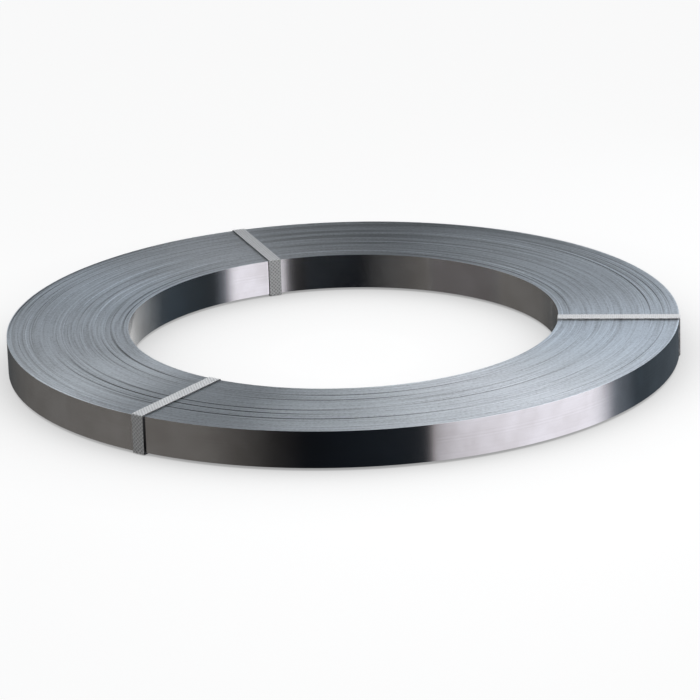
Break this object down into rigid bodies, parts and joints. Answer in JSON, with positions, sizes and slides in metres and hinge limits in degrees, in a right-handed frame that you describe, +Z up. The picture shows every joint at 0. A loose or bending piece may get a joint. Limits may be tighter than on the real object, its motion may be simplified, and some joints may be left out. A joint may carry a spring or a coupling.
{
  "type": "steel strapping coil",
  "caption": "Flat ring-shaped coil of ribbon-wound steel strapping with an open bore, held shut by narrow plastic strap ties, that feeds a strapping dispenser.",
  "frame": {"origin": "on the coil's axis, at the floor that the ties' welds rest on", "axes": "+Z up along the coil's axis; +X to the right and -Y towards the viewer of the reference view"},
  "size_m": [0.47, 0.47, 0.0281],
  "materials": {
    "steel": "bright cold-rolled strap, its slit edges lined turn by turn on the coil's ends",
    "tie_plastic": "pale grey polypropylene strap with a fine embossed waffle"
  },
  "bodies": {
    "root": {"strapping_coil": "steel", "rear_tie": "tie_plastic", "left_tie": "tie_plastic", "right_tie": "tie_plastic"}
  },
  "joints": []
}
